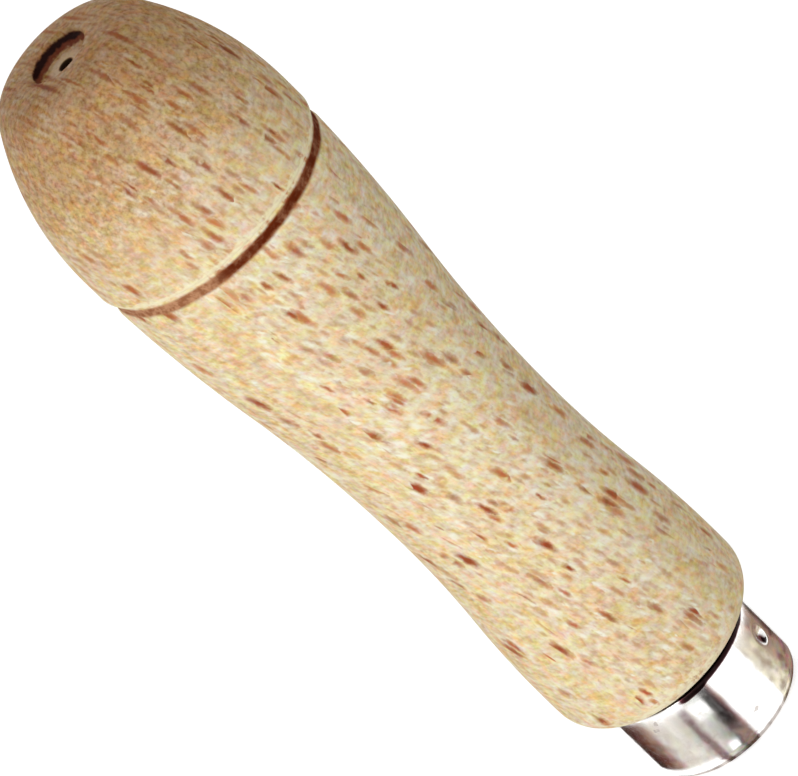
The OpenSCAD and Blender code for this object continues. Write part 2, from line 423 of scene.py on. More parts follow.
# The lathe: one node tree turns every half section about Z

def make_lathe():
    """Turns a half section about Z and presses in the punch marks. Lengths in metres, angles in radians."""
    tree = bpy.data.node_groups.new("turn_on_lathe", "GeometryNodeTree")
    face = tree.interface
    face.new_socket("Section", in_out="INPUT", socket_type="NodeSocketGeometry")
    for name, value in (
        ("Facets", 256), ("Unevenness", 0.0), ("Unevenness Size", 6 * MM), ("Mark Count", PUNCH_COUNT),
        ("Mark Angle", math.radians(PUNCH_ANGLE)), ("Mark Height", PUNCH_Z * MM),
        ("Ball Place", (FERRULE_R + PUNCH_NOSE - PUNCH_DEPTH) * MM), ("Outer Nose", PUNCH_NOSE * MM),
        ("Inner Nose", (PUNCH_NOSE + SHEET) * MM), ("Skin Radius", (FERRULE_R - SHEET / 2) * MM),
        ("Mark Softness", MARK_SOFT * MM),
    ):
        kind = "NodeSocketInt" if isinstance(value, int) else "NodeSocketFloat"
        face.new_socket(name, in_out="INPUT", socket_type=kind).default_value = value
    face.new_socket("Finish", in_out="INPUT", socket_type="NodeSocketMaterial")
    face.new_socket("Turned Piece", in_out="OUTPUT", socket_type="NodeSocketGeometry")
    t = Tree(tree)
    given = t.put("NodeGroupInput").outputs

    # A grid with a row for each point of the section and a column for each facet
    points = t.put("GeometryNodeAttributeDomainSize", {"Geometry": given["Section"]}, component="MESH")
    columns = t.plus(given["Facets"], 1.0)
    grid = t.put("GeometryNodeMeshGrid", {
        "Size X": 1.0, "Size Y": 1.0, "Vertices X": points.outputs["Point Count"], "Vertices Y": columns})
    index = t.put("GeometryNodeInputIndex").outputs[0]
    row = t.calc("FLOOR", t.over(t.plus(index, 0.5), columns))
    column = t.minus(index, t.times(row, columns))
    turn = t.times(t.over(column, given["Facets"]), math.tau)
    sample = t.put("GeometryNodeSampleIndex", {"Geometry": given["Section"], "Index": row},
                   data_type="FLOAT_VECTOR", domain="POINT")
    place = t.put("GeometryNodeInputPosition").outputs[0]
    t.link(place, next(s for s in sample.inputs if s.name == "Value" and s.enabled))
    radius, _, height = t.parts(next(s for s in sample.outputs if s.enabled))

    def turned(radius, height):
        """The place at the column's turn, with this radius and height."""
        x, y = (t.times(radius, t.calc(side, turn)) for side in ("COSINE", "SINE"))
        return t.joined(x, y, height)

    # The wood or steel is nowhere perfectly round, and its unevenness fades close to the axis
    wave = t.noise(turned(radius, t.times(height, 0.5)), t.over(1.0, given["Unevenness Size"]))
    fade = t.calc("MINIMUM", t.over(radius, 4 * MM), 1.0)
    away = t.times(t.minus(wave, 0.75), given["Unevenness"], fade)

    # Each mark is the part of a ball that reaches below the skin, with its edge softened
    share = t.over(math.tau, given["Mark Count"])
    lag = t.calc("WRAP", t.minus(turn, given["Mark Angle"]), t.times(share, 0.5), t.times(share, -0.5))
    aside = t.times(lag, radius)
    above = t.minus(height, given["Mark Height"])
    off = t.plus(t.times(aside, aside), t.times(above, above))
    outer = t.calc("GREATER_THAN", radius, given["Skin Radius"])
    nose = t.plus(t.times(outer, given["Outer Nose"]), t.times(t.minus(1.0, outer), given["Inner Nose"]))
    widest = t.times(nose, nose)
    reach = t.calc("SQRT", t.most(t.minus(widest, off), 0.0))
    dip = t.minus(radius, t.minus(given["Ball Place"], reach))
    soft = t.times(given["Mark Softness"], given["Mark Softness"])
    dent = t.times(t.plus(dip, t.calc("SQRT", t.plus(t.times(dip, dip), soft))), 0.5)
    pressed = t.minus(t.plus(radius, away), t.times(dent, t.calc("LESS_THAN", off, widest)))

    shape = grid.outputs["Mesh"]
    for kind, values in (
        ("SetPosition", {"Position": turned(pressed, height)}), ("MergeByDistance", {"Distance": 2e-7}),
        ("SetShadeSmooth", {}), ("RealizeInstances", {}), ("SetMaterial", {"Material": given["Finish"]}),
    ):
        shape = t.put("GeometryNode" + kind, {"Geometry": shape, **values}).outputs[0]
    t.put("NodeGroupOutput", {0: shape})
    return tree


def turn_piece(name, section, material, inputs):
    """Turns a half section into a plain mesh with the lathe tree, and puts it in the scene."""
    strip = bpy.data.meshes.new(name + "_section")
    points = [(r * MM, 0.0, z * MM) for r, z in section]
    strip.from_pydata(points, [(i, i + 1) for i in range(len(points) - 1)], [])
    blank = add_object(name + "_blank", strip)
    modifier = blank.modifiers.new("lathe", "NODES")
    modifier.node_group = lathe
    sockets = {s.name: s.identifier for s in lathe.interface.items_tree if s.in_out == "INPUT"}
    for key, value in inputs.items():
        modifier[sockets[key]] = value
    modifier[sockets["Finish"]] = material
    bpy.context.view_layer.update()
    shown = blank.evaluated_get(bpy.context.evaluated_depsgraph_get())
    mesh = bpy.data.meshes.new_from_object(shown)
    mesh.name = name
    blank.modifiers.remove(modifier)
    bpy.data.objects.remove(blank)
    bpy.data.meshes.remove(strip)
    face_outward(mesh)
    return add_object(name, mesh)


def face_outward(mesh):
    """Turns every face of a closed mesh so that it faces away from the solid inside."""
    volume = 0.0
    mesh.calc_loop_triangles()
    for tri in mesh.loop_triangles:
        a, b, c = (mesh.vertices[i].co for i in tri.vertices)
        volume += a.dot(b.cross(c))
    if volume < 0:
        mesh.flip_normals()


lathe = make_lathe()


# Materials

def make_group(name, inputs, *outputs):
    """A shader node group with named sockets; returns its tree helper, its inputs and its outputs.

    An input that starts as a number takes a value, and one that starts as a tuple takes a vector.
    An output gives a value, except that Grain gives a vector and Hue a colour.
    """
    group = bpy.data.node_groups.new(name, "ShaderNodeTree")
    for label, start in inputs.items():
        kind = "NodeSocketFloat" if isinstance(start, float) else "NodeSocketVector"
        group.interface.new_socket(label, in_out="INPUT", socket_type=kind).default_value = start
    for label in outputs:
        kind = {"Hue": "NodeSocketColor", "Grain": "NodeSocketVector"}.get(label, "NodeSocketFloat")
        group.interface.new_socket(label, in_out="OUTPUT", socket_type=kind)
    t = Tree(group)
    return t, t.put("NodeGroupInput").outputs, t.put("NodeGroupOutput").inputs


def new_material(name, kind="ShaderNodeBsdfPrincipled"):
    """A material with a single shader; returns the material, its tree helper and the shader."""
    material = bpy.data.materials.new(name)
    material.use_nodes = True
    t = Tree(material.node_tree)
    t.tree.nodes.clear()
    out = t.put("ShaderNodeOutputMaterial")
    shader = t.put(kind)
    t.link(shader.outputs[0], out.inputs["Surface"])
    return material, t, shader


def place_in_mm(t):
    """Object coordinates in millimetres."""
    spot = t.put("ShaderNodeTexCoord").outputs["Object"]
    return t.put("ShaderNodeMapping", {"Vector": spot, "Scale": (1000.0, 1000.0, 1000.0)}).outputs[0]


# Shared effects, all in millimetres

ORIGIN = (0.0, 0.0, 0.0)


def grain_space():
    """Turns a place on the handle into a place in the board it was cut from.

    The parts of a grain place are: across the rings' face, out from the pith, and along the fibres.
    """
    t, given, result = make_group(
        "grain_space",
        {"Place": ORIGIN, "Pith": (-12.0, 95.0, 0.0), "Slope": 0.09, "Wander": 2.8, "Wander Length": 28.0},
        "Grain")
    x, y, z = t.parts(given["Place"])
    pith_x, pith_y = t.parts(given["Pith"])[:2]
    wave = t.times(t.calc("SINE", t.over(t.minus(z, LENGTH / 2), given["Wander Length"])), given["Wander"])
    drift = t.plus(t.times(z, given["Slope"]), wave)
    dx = t.minus(t.plus(x, drift), pith_x)
    dy = t.minus(pith_y, y)
    across = t.times(t.calc("ARCTAN2", dx, dy), pith_y)
    t.link(t.joined(across, t.radius(dx, dy), z), result["Grain"])
    return t.tree


def growth_rings():
    """Soft rings of darker late wood, of uneven width."""
    t, given, result = make_group(
        "growth_rings", {"Grain": ORIGIN, "Ring Width": 2.3, "Unevenness": 0.7}, "Late Wood")
    across, out, along = t.parts(given["Grain"])
    slow = t.noise(t.joined(t.times(across, 0.25), out, t.times(along, 0.06)), 0.16)
    shifted = t.plus(out, t.swing(slow, t.times(given["Unevenness"], 6.0)))
    phase = t.calc("FRACT", t.over(shifted, given["Ring Width"]))
    t.link(t.minus(t.spread(phase, 0.35, 0.92), t.spread(phase, 0.92, 1.0)), result["Late Wood"])
    return t.tree


def ray_flecks():
    """Spindles of ray tissue: dashes on the rings' face, wide ribbons where the wood is cut along the rays.

    Border is a thin ring round each spindle. Chance is a random number that each spindle has for its colour.
    """
    t, given, result = make_group(
        "ray_flecks",
        {"Grain": ORIGIN, "Spacing": (1.7, 10.0, 5.0), "Half Size": (0.26, 4.5, 1.1), "Share": 0.8,
         "Softness": 0.5, "Ragged": 0.5, "Lean": 0.05, "Break": 0.0, "Rows": 1.6, "Seed": ORIGIN},
        "Fleck", "Border", "Chance")
    grain = given["Grain"]
    stir = t.noise(t.vector("MULTIPLY", grain, (1.0, 1.0, 0.6)), 1.5, 3.0, 0.6, output="Color")
    stir = t.scaled(t.vector("SUBTRACT", stir, (0.5, 0.5, 0.5)), given["Ragged"])
    place = t.vector("ADD", grain, t.vector("MULTIPLY", stir, (1.0, 2.0, 3.5)))
    cells = t.vector("ADD", t.vector("DIVIDE", place, given["Spacing"]), given["Seed"])
    cell = t.put("ShaderNodeTexVoronoi", {"Vector": cells, "Scale": 1.0, "Randomness": 1.0},
                 feature="F1", voronoi_dimensions="3D").outputs
    size, chance, shade = t.parts(cell["Color"])

    # How far out in its leaning spindle a place lies
    off = t.vector("MULTIPLY", t.vector("SUBTRACT", cells, cell["Position"]), given["Spacing"])
    side, deep, far = t.parts(off)
    off = t.joined(t.plus(side, t.times(far, given["Lean"])), deep, far)
    grow = t.spread(size, 0.0, 1.0, 0.55, 1.35, smooth=False)
    away = t.vector("LENGTH", t.vector("DIVIDE", off, t.scaled(given["Half Size"], grow)))
    inside = t.minus(1.0, t.spread(away, t.minus(1.0, given["Softness"]), 1.0))
    border = t.window(away, 0.8, 1.05, 1.15, 1.7)

    # Some spindles are missing, in rows along the fibres, and some are broken off
    leaning = t.joined(t.times(t.parts(grain)[2], given["Lean"]), 0.0, 0.0)
    rows = t.noise(t.vector("MULTIPLY", t.vector("ADD", grain, leaning), (0.42, 0.06, 0.035)), 1.0)
    there = t.calc("LESS_THAN", chance, t.plus(given["Share"], t.swing(rows, given["Rows"])))
    joint = t.noise(t.vector("ADD", t.vector("MULTIPLY", grain, (0.7, 0.2, 0.62)), given["Seed"]), 1.0, 1.0)
    kept = t.times(there, t.spread(joint, t.minus(given["Break"], 0.1), t.plus(given["Break"], 0.04)))
    t.link(t.times(inside, kept), result["Fleck"])
    t.link(t.times(border, kept), result["Border"])
    t.link(shade, result["Chance"])
    return t.tree


def fibres():
    """Fine fibres and open pores, long along the grain."""
    t, given, result = make_group(
        "fibres", {"Grain": ORIGIN, "Fibre Width": 0.3, "Fibre Length": 2.4}, "Fibre", "Pore")
    across, out, along = t.parts(given["Grain"])
    side = t.over(across, given["Fibre Width"])
    deep = t.over(out, given["Fibre Width"])
    far = t.over(along, given["Fibre Length"])
    t.link(t.noise(t.joined(side, deep, far), 1.0, 3.0, 0.6), result["Fibre"])
    grit = t.noise(t.joined(t.times(side, 1.9), t.times(deep, 1.9), t.times(far, 2.6)), 1.0, 1.0)
    t.link(t.spread(grit, 0.60, 0.74), result["Pore"])
    return t.tree


def mottle():
    """Small uneven patches of tone and hue, as sanded beech has under bright light."""
    t, given, result = make_group(
        "mottle", {"Grain": ORIGIN, "Patch Size": 0.95, "Stretch": 1.7}, "Tone", "Hue")
    size = given["Patch Size"]
    place = t.vector("DIVIDE", given["Grain"], t.joined(size, size, t.times(size, given["Stretch"])))
    t.link(t.noise(place, 1.0, 2.0, 0.6), result["Tone"])
    place = t.vector("ADD", place, (31.0, 17.0, 5.0))
    t.link(t.noise(place, 0.9, 2.0, 0.6, output="Color"), result["Hue"])
    return t.tree


def turning_rings():
    """Faint rings that the sanding left round the spinning wood."""
    t, given, result = make_group("turning_rings", {"Place": ORIGIN, "Pitch": 0.4}, "Ring")
    x, y, z = t.parts(given["Place"])
    turn = t.calc("ARCTAN2", x, y)
    level = t.over(t.plus(z, t.times(t.radius(x, y), -0.5)), given["Pitch"])
    t.link(t.noise(t.joined(t.times(turn, 0.8), 0.0, level), 1.0, 3.0, 0.6), result["Ring"])
    return t.tree


def height_band():
    """How much a height band holds a place: 1 inside, soft at both edges, and uneven round the turning."""
    t, given, result = make_group(
        "height_band",
        {"Place": ORIGIN, "Bottom": GROOVE_BURN[0], "Top": GROOVE_BURN[1], "Softness": 0.45,
         "Raggedness": 0.12, "Patch Length": 3.0},
        "Inside")
    x, y, z = t.parts(given["Place"])
    sway = t.noise(t.joined(x, y, t.times(z, 2.0)), t.over(1.0, given["Patch Length"]), 3.0, 0.6)
    level = t.plus(z, t.times(t.swing(sway, given["Raggedness"]), 3.0))
    low = t.spread(level, t.minus(given["Bottom"], given["Softness"]), given["Bottom"])
    high = t.spread(level, given["Top"], t.plus(given["Top"], given["Softness"]))
    t.link(t.minus(low, high), result["Inside"])
    return t.tree


def polish_lines():
    """Fine lines round the shell from polishing, with a slow wave under them."""
    t, given, result = make_group(
        "polish_lines", {"Place": ORIGIN, "Line Pitch": 0.12, "Wave Size": 1.6}, "Line", "Wave")
    x, y, z = t.parts(given["Place"])
    turn = t.calc("ARCTAN2", x, y)
    level = t.over(t.plus(z, t.radius(x, y)), given["Line Pitch"])
    t.link(t.noise(t.joined(t.times(turn, 3.0), 0.0, level), 1.0, 2.0, 0.6), result["Line"])
    size = given["Wave Size"]
    waves = t.vector("DIVIDE", given["Place"], t.joined(size, size, t.times(size, 1.6)))
    t.link(t.noise(waves, 1.0, 1.0, 0.4), result["Wave"])
    return t.tree


def wear_specks():
    """Small dull specks and pits."""
    t, given, result = make_group(
        "wear_specks", {"Place": ORIGIN, "Speck Size": 0.6, "Share": 0.05}, "Speck")
    size = given["Speck Size"]
    cells = t.vector("DIVIDE", given["Place"], t.joined(size, size, size))
    cell = t.put("ShaderNodeTexVoronoi", {"Vector": cells, "Scale": 1.0}, feature="F1").outputs
    grow, chance = t.parts(cell["Color"])[:2]
    spot = t.spread(cell["Distance"], t.times(grow, 0.28), 0.02)
    t.link(t.times(spot, t.calc("LESS_THAN", chance, given["Share"])), result["Speck"])
    return t.tree


effects = {
    "grain": grain_space(), "rings": growth_rings(), "flecks": ray_flecks(), "fibres": fibres(),
    "mottle": mottle(), "turning": turning_rings(), "band": height_band(), "polish": polish_lines(),
    "specks": wear_specks(),
}


# Wood

def sound_wood(t, place, grain, fibre, dark, middle, flank):
    """The wood's own colour, from fibres, rings, patches and flecks, and browner where it drank more oil."""
    z = t.parts(place)[2]
    plain = t.minus(1.0, t.times(flank, 0.7))
    leaned = t.vector("ADD", grain, t.joined(t.times(z, 0.2), 0.0, 0.0))
    late = t.use("rings", {"Grain": grain})["Late Wood"]
    patch = t.use("mottle", {"Grain": leaned, "Patch Size": 0.8, "Stretch": 1.4})
    square = t.use("mottle", {"Grain": grain, "Patch Size": 1.2, "Stretch": 0.6})
    broad = t.use("mottle", {"Grain": leaned, "Patch Size": 2.2, "Stretch": 1.3})
    grit = t.use("mottle", {"Grain": grain, "Patch Size": 0.42, "Stretch": 1.6})["Hue"]
    wide = t.noise(t.vector("MULTIPLY", grain, (1.0, 1.0, 0.22)), 0.16, 3.0, 0.55)

    even = t.plus(t.times(square["Tone"], flank), t.times(patch["Tone"], t.minus(1.0, flank)))
    tone = t.plus(t.swing(fibre["Fibre"], t.times(plain, 0.4)), t.swing(even, 1.6))
    tone = t.plus(tone, t.swing(broad["Tone"], 0.6))
    tone = t.plus(tone, t.swing(wide, 0.5))
    tone = t.minus(tone, t.times(late, 0.10))
    wood = t.ramp(t.plus(tone, 0.55), [
        (0.0, (0.62, 0.40, 0.19)), (0.38, (0.81, 0.615, 0.345)), (0.6, (0.90, 0.73, 0.45)),
        (0.92, (1.0, 0.90, 0.65))])
    wood = t.blend(0.35, wood, t.blend(0.5, (0.5, 0.5, 0.5), patch["Hue"]), "OVERLAY")

    # Patches are redder or greener, and yellower or bluer, than the rest
    hues = t.parts(t.use("mottle", {"Grain": leaned, "Patch Size": 1.15, "Stretch": 1.3})["Hue"])
    for hue, less, more in (
        (hues[0], (1.06, 0.87, 0.80), (0.96, 1.06, 1.08)),
        (hues[1], (1.02, 1.03, 0.76), (0.98, 0.97, 1.18)),
    ):
        wood = t.blend(1.0, wood, t.ramp(hue, [(0.34, less), (0.5, WHITE), (0.66, more)]), "MULTIPLY")

    tan = t.use("flecks", {
        "Grain": leaned, "Spacing": (1.5, 6.0, 3.0), "Half Size": (0.48, 2.8, 1.15), "Share": 0.75,
        "Softness": 0.9, "Ragged": 0.9, "Seed": (5.1, 3.3, 8.8)})["Fleck"]
    pale = t.use("flecks", {
        "Grain": leaned, "Spacing": (1.15, 6.0, 2.5), "Half Size": (0.38, 2.6, 1.0), "Share": 0.85,
        "Softness": 0.9, "Ragged": 0.6, "Seed": (3.7, 9.2, 1.6)})["Fleck"]
    wood = t.tinted(wood, tan, t.times(plain, 0.55), (0.66, 0.43, 0.25))
    wood = t.tinted(wood, pale, t.times(plain, 0.92), (1.0, 0.98, 0.81))
    wood = t.blend(0.3, wood, grit, "OVERLAY")

    # Cut ends of the fibres make dots on the dome
    dots = t.use("mottle", {"Grain": place, "Patch Size": 0.55, "Stretch": 1.0})["Tone"]
    dots = t.ramp(dots, [(0.3, (0.62, 0.46, 0.34)), (0.5, WHITE), (0.7, (1.22, 1.22, 1.2))])
    wood = t.blend(t.times(t.spread(z, *END_DOTS), 0.75), wood, dots, "MULTIPLY")

    small = t.use("flecks", {
        "Grain": grain, "Spacing": (1.1, 5.0, 2.8), "Half Size": (0.32, 2.0, 1.1), "Softness": 0.8,
        "Share": middle, "Ragged": 0.35, "Seed": (7.3, 2.1, 4.4)})["Fleck"]
    wood = t.tinted(wood, fibre["Pore"], 0.3, (0.52, 0.30, 0.15))
    wood = t.tinted(wood, small, 0.7, (0.60, 0.30, 0.15))
    wood = t.tinted(wood, dark["Border"], 0.28, (1.0, 0.94, 0.76))
    red = t.blend(dark["Chance"], (0.35, 0.055, 0.012), (0.66, 0.25, 0.095))
    red = t.blend(0.5, red, grit, "OVERLAY")
    wood = t.tinted(wood, dark["Fleck"], t.spread(z, 96.0, 106.0, 0.97, 0.86), red)

    # End grain drinks more oil, so the dome turns brown towards its crown
    rise = t.over(t.minus(z, BROWN_FROM), LENGTH - BROWN_FROM)
    return t.blend(1.0, wood, t.ramp(rise, [
        (0.0, WHITE), (0.12, (0.94, 0.90, 0.86)), (0.42, (0.86, 0.78, 0.73)),
        (0.56, (0.76, 0.65, 0.56)), (0.81, (0.65, 0.51, 0.41)), (1.0, (0.57, 0.43, 0.35))]), "MULTIPLY")


def band_at(t, place, heights, softness, raggedness, patch):
    """How much a ragged band between two heights holds a place."""
    return t.use("band", {
        "Place": place, "Bottom": heights[0], "Top": heights[1], "Softness": softness,
        "Raggedness": raggedness, "Patch Length": patch})["Inside"]


def worn_burnt_and_painted_light(t, wood, place, burn):
    """Lays a painted highlight on the dome's lip, painted bounce light round the shoulder, the scorched
    groove, the recess's burnt side, and painted shade in the recess, the centre hole and the corner by the
    ferrule over the wood.
    """
    x, y, z = t.parts(place)
    radius = t.radius(x, y)
    # Painted highlight: a pale band along the dome's lip above the groove
    lip_highlight = band_at(t, place, LIP_HIGHLIGHT, 0.5, 0.7, 1.2)
    # Painted bounce light: a pale, patchy band round the shoulder, strongest on the -x side
    shoulder_glow = band_at(t, place, SHOULDER_GLOW, 1.4, 1.8, 2.0)
    wood = t.tinted(wood, lip_highlight, 0.7, (1.0, 0.92, 0.62))
    glow_patches = t.spread(t.noise(place, 1.1, 3.0, 0.7), 0.38, 0.6, 0.2, 0.95)
    wood = t.tinted(wood, shoulder_glow, t.times(glow_patches, t.spread(x, 7.0, 3.0, 0.2, 1.0)), (1.0, 0.91, 0.63))

    # The groove is scorched more on one side than on the other
    scorch = t.spread(t.noise(place, 0.6, 3.0, 0.65), 0.32, 0.6, 0.45, 1.0)
    scorch = t.times(scorch, t.spread(x, -7.0, -2.8, 0.1, 1.0))
    faint = t.spread(t.noise(place, 0.9, 3.0, 0.7), 0.38, 0.62)
    brown = t.blend(faint, (0.36, 0.145, 0.065), (0.60, 0.31, 0.165))
    wood = t.blend(burn, wood, t.blend(scorch, brown, (0.19, 0.028, 0.002)))
    core = band_at(t, place, GROOVE_CORE, 0.35, 0.2, 1.6)
    wood = t.tinted(wood, core, t.times(scorch, 0.7), (0.09, 0.01, 0.001))

    # Painted shade in the corner between the shoulder and the ferrule
    nook_shade = t.times(t.spread(z, 13.2, 12.45), t.spread(radius, 11.6, 10.6))
    wood = t.tinted(wood, nook_shade, 0.92, (0.035, 0.014, 0.009))

    # The recess: its side burnt brown with painted shade over it, darkest and near black at the back (+y),
    # round a floor with a painted lit patch
    high = t.spread(z, 116.0, 117.6)
    frayed = t.swing(t.noise(place, 1.3), 0.5)
    ragged = t.plus(radius, frayed)
    below = t.spread(t.plus(z, frayed), 119.7, 119.3)
    back = t.times(t.spread(y, -1.0, 2.2), 0.5)
    inner = t.minus(3.65, back)
    outer = t.plus(3.85, back)
    wall_burn_and_shade = t.window(ragged, t.minus(inner, 0.25), inner, outer, t.plus(outer, 0.3))
    wood = t.tinted(wood, t.times(wall_burn_and_shade, high, below), 0.9, (0.16, 0.022, 0.01))
    back_wall_shade = t.window(ragged, t.plus(inner, 0.1), t.plus(inner, 0.35),
                    t.minus(outer, 0.25), t.plus(outer, 0.05))
    back_wall_shade = t.times(back_wall_shade, high, t.times(below, t.spread(y, -0.5, 1.6)))
    wood = t.blend(back_wall_shade, wood, (0.018, 0.004, 0.003))
    lit_floor = t.times(t.window(radius, 0.95, 1.15, 1.9, 2.7), high)
    wood = t.tinted(wood, lit_floor, 0.4, (0.88, 0.70, 0.50))
    # Painted shade: the centre hole near black
    hole = t.times(t.spread(radius, 1.1, 0.84), high)
    return t.tinted(wood, hole, 0.95, (0.02, 0.008, 0.006))


def make_beech():
    """Pale sanded beech: flecked, mottled, browner on the end grain, burnt in the groove and the recess, with
    painted highlights on the lip and shoulder and painted shade in the recess and by the ferrule.
    """
    material, t, shader = new_material("beech")
    place = place_in_mm(t)
    x, _, z = t.parts(place)
    grain = t.use("grain", {"Place": place})["Grain"]
    fibre = t.use("fibres", {"Grain": grain})
    ring = t.use("turning", {"Place": place})["Ring"]
    burn = t.use("band", {"Place": place})["Inside"]

    # Most flecks lie in the middle of the rings' face; the wood's flanks are calmer and less streaked
    middle = t.times(t.spread(x, -7.2, -4.6, 0.25, 1.0), t.spread(x, 6.4, 4.6, 0.35, 1.0))
    flank = t.spread(t.calc("ABSOLUTE", x), 6.0, 11.0)
    dark = t.use("flecks", {
        "Grain": grain, "Spacing": (1.15, 10.0, 4.0), "Break": 0.36, "Rows": 4.0, "Softness": 0.8,
        "Half Size": t.joined(t.spread(z, 92.0, 99.0, 0.49, 0.37), 4.5, 2.0), "Share": t.times(middle, 1.5)})
    wood = sound_wood(t, place, grain, fibre, dark, middle, flank)
    t.link(worn_burnt_and_painted_light(t, wood, place, burn), shader.inputs["Base Color"])

    # Satin where it is sanded, duller in the pores and the burnt places
    rough = t.plus(0.50, t.swing(fibre["Fibre"], 0.25))
    t.link(t.plus(rough, t.times(t.most(fibre["Pore"], burn), 0.2)), shader.inputs["Roughness"])
    height = t.plus(t.times(fibre["Fibre"], 0.5), t.times(ring, 0.35))
    height = t.minus(height, t.times(fibre["Pore"], 0.4))
    height = t.minus(height, t.times(dark["Fleck"], 0.25))
    bump = t.put("ShaderNodeBump", {"Height": height, "Strength": 0.55, "Distance": 0.05 * MM})
    t.link(bump.outputs[0], shader.inputs["Normal"])
    shader.inputs["IOR"].default_value = 1.45
    shader.inputs["Specular IOR Level"].default_value = 0.07
    return material


# Steel

def make_steel():
    """Bright plated sheet steel, drawn and then polished, with a thin film, some dirt and wear, and painted
    shade along its back edge and in one punch mark.
    """
    material, t, shader = new_material("plated_steel")
    place = place_in_mm(t)
    x, y, z = t.parts(place)
    lines = t.use("polish", {"Place": place})
    speck = t.use("specks", {"Place": place})["Speck"]
    cloud = t.noise(place, 0.45, 3.0, 0.6)
    dirt = t.times(t.spread(cloud, 0.5, 0.75), 0.5)
    back = t.times(t.spread(z, 11.3, 11.7), 0.3)
    inside = t.times(t.spread(t.radius(x, y), 9.7, 9.5), 0.6)
    dull = t.most(dirt, back, inside)
    metal = t.blend(dull, (0.87, 0.86, 0.85), (0.62, 0.58, 0.53))
    metal = t.tinted(metal, speck, 0.55, (0.34, 0.28, 0.24))

    # Painted shade along the back edge, for the dark gap under the wood's shoulder, a little wider on the
    # left of the middle
    wider = t.window(x, -3.8, -2.6, -0.4, 1.0)
    level = t.plus(t.plus(z, t.times(cloud, 0.3)), t.times(wider, 0.22))
    back_edge_shade = t.times(t.spread(level, 11.15, 11.5), t.spread(x, -4.0, -2.4))
    black = t.blend(back_edge_shade, (0.16, 0.05, 0.06), (0.014, 0.006, 0.006))
    metal = t.blend(t.spread(back_edge_shade, 0.0, 0.6), metal, black)
    # Painted shade: one dark spot in the first punch mark
    metal = t.blend(t.spread(t.vector("DISTANCE", place, PUNCH_SHADE_PLACE), 0.85, 0.45), metal, (0.10, 0.03, 0.03))
    t.link(metal, shader.inputs["Base Color"])
    film = t.spread(t.noise(place, 1.5, 3.0, 0.65), 0.46, 0.66)
    t.link(t.minus(1.0, t.times(film, 0.10)), shader.inputs["Metallic"])
    rough = t.plus(t.plus(0.10, t.times(dull, 0.22)), t.times(lines["Line"], 0.07))
    t.link(t.plus(rough, t.times(speck, 0.3)), shader.inputs["Roughness"])
    height = t.minus(t.plus(t.times(lines["Line"], 0.04), lines["Wave"]), t.times(speck, 0.08))
    bump = t.put("ShaderNodeBump", {"Height": height, "Strength": 1.0, "Distance": 0.014 * MM})
    t.link(bump.outputs[0], shader.inputs["Normal"])
    return material


beech = make_beech()
steel = make_steel()


# Floor and light

def seen_directly(t):
    """1 for the camera and in reflections, 0 for the light that falls on things."""
    path = t.put("ShaderNodeLightPath").outputs
    return t.most(path["Is Camera Ray"], path["Is Glossy Ray"])


def make_floor():
    """A wide pale table that looks white, and turns grey only where the handle shades it."""
    half = 3.0
    mesh = bpy.data.meshes.new("floor")
    corners = [(-half, -half, 0), (half, -half, 0), (half, half, 0), (-half, half, 0)]
    mesh.from_pydata(corners, [], [(0, 1, 2, 3)])
    material, t, both = new_material("table_white", "ShaderNodeAddShader")
    matt = t.put("ShaderNodeBsdfDiffuse", {"Color": (TABLE_GREY, TABLE_GREY, TABLE_GREY, 1.0)})
    glow = t.put("ShaderNodeEmission", {
        "Color": (*WHITE, 1.0), "Strength": t.times(seen_directly(t), TABLE_GLOW)})
    t.link(matt.outputs[0], both.inputs[0])
    t.link(glow.outputs[0], both.inputs[1])
    mesh.materials.append(material)
    floor = add_object("floor", mesh)


def make_world():
    """Soft light from all round; the camera and the steel see plain white."""
    world = bpy.data.worlds.new("studio")
    bpy.context.scene.world = world
    world.use_nodes = True
    t = Tree(world.node_tree)
    t.tree.nodes.clear()
    out = t.put("ShaderNodeOutputWorld")
    mix = t.put("ShaderNodeMixShader", {"Fac": seen_directly(t)})
    for i, strength in enumerate((SOFT_LIGHT, SEEN_WHITE), 1):
        sky = t.put("ShaderNodeBackground", {"Color": (*WHITE, 1.0), "Strength": strength})
        t.link(sky.outputs[0], mix.inputs[i])
    t.link(mix.outputs[0], out.inputs["Surface"])


def make_lamp(name, place, aim, size, power):
    """A softbox at a place, turned to face a point; all in metres."""
    data = bpy.data.lights.new(name, "AREA")
    data.shape = "RECTANGLE"
    data.size, data.size_y = size
    data.energy = power
    way = Vector(aim) - Vector(place)
    turn = way.to_track_quat("-Z", "Y").to_matrix().to_4x4()
    add_object(name, data).matrix_world = Matrix.Translation(place) @ turn


def add_card(mesh, material):
    """Puts a reflection card on the stage; only reflections show it."""
    mesh.materials.append(material)
    card = add_object(mesh.name, mesh)
    card.visible_camera = False
    card.visible_diffuse = False
    card.visible_shadow = False
    card.visible_transmission = False
    card.visible_volume_scatter = False


def reflected_spot(q, level):
    """The place on the table that shows in the shell at a side place q (-1 to 1) and a height.

    A height below 0 stands for a place that far in from the shell's foot.
    """
    phi = math.asin(max(-1.0, min(1.0, q)))
    if level < 0:
        return (FERRULE_R + level) * math.sin(phi), -(FERRULE_R + level) * math.cos(phi)
    run = level / math.tan(math.radians(FERRULE_LOOK))
    x = FERRULE_R * math.sin(phi) + run * math.sin(2 * phi)
    y = -FERRULE_R * math.cos(phi) - run * math.cos(2 * phi)
    return x, y


